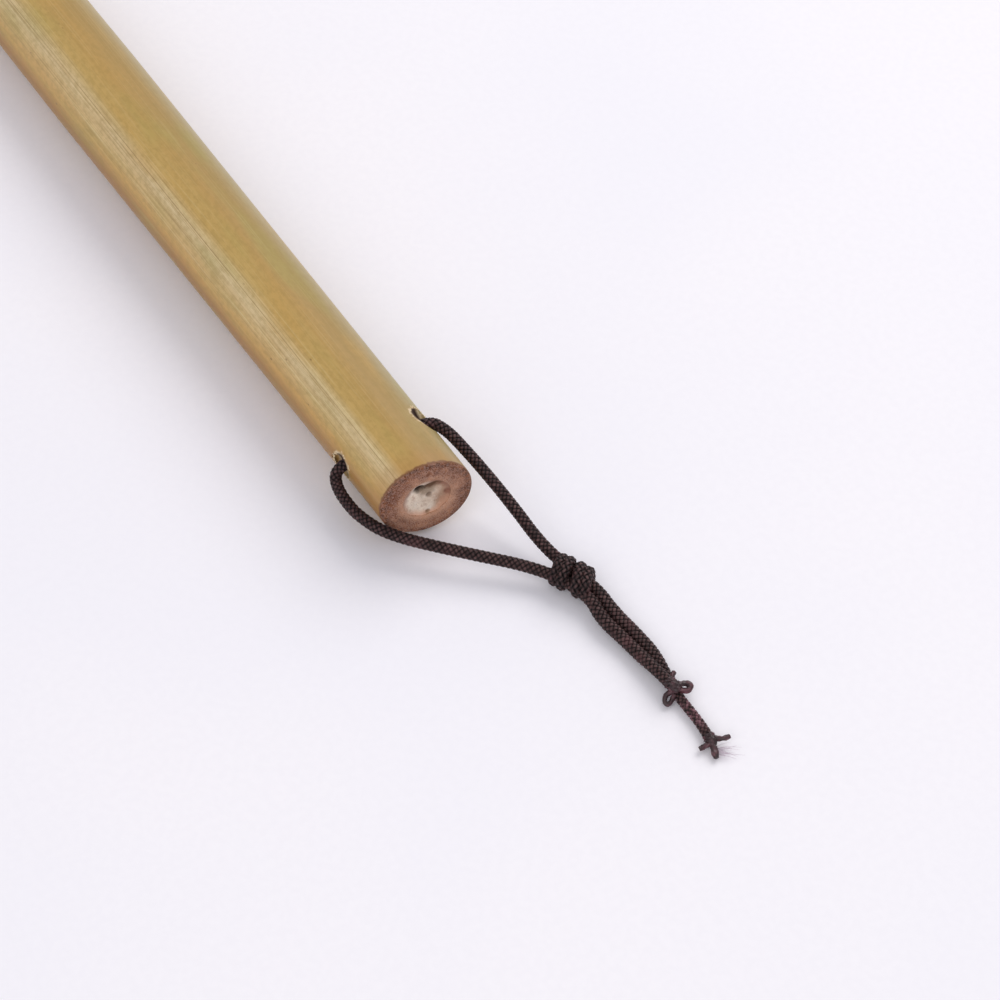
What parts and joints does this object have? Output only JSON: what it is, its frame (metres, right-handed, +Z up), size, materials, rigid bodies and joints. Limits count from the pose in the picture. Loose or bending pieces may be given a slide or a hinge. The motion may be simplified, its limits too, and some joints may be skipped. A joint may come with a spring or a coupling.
{
  "type": "calligraphy brush",
  "caption": "Bamboo-handled writing brush with layered pointed hair and a knotted braided cord through a cross hole at its tail.",
  "frame": {"origin": "on the surface the brush lies on, under the middle of the brush without its cord", "axes": "+X from the tuft's point to the cord end of the handle, along the handle; +Z up; the loop of cord lies mostly on the +Y side"},
  "size_m": [0.3181, 0.0225, 0.014],
  "materials": {
    "bamboo": "polished natural skin with a soft satin sheen",
    "pith": "matt, fibrous",
    "white_hair": "soft combed hair",
    "cream_hair": "soft combed hair",
    "brown_hair": "springy combed hair",
    "thread": "waxed thread",
    "rosin": "glossy",
    "glue": "glossy, slightly amber",
    "cord": "tight round braid with a faint sheen",
    "melted_cord": "melted, semi-gloss"
  },
  "bodies": {
    "root": {"handle_culm": "bamboo", "tail_septum": "pith", "tuft_cover": "white_hair", "tuft_belly": "cream_hair", "tuft_core": "brown_hair", "root_thread": "thread", "root_seal": "rosin", "socket_glue": "glue", "cord_bight": "cord", "cord_right": "cord", "cord_left": "cord", "cord_knot": "cord", "cord_end_long": "melted_cord", "cord_end_short": "melted_cord"}
  },
  "joints": []
}
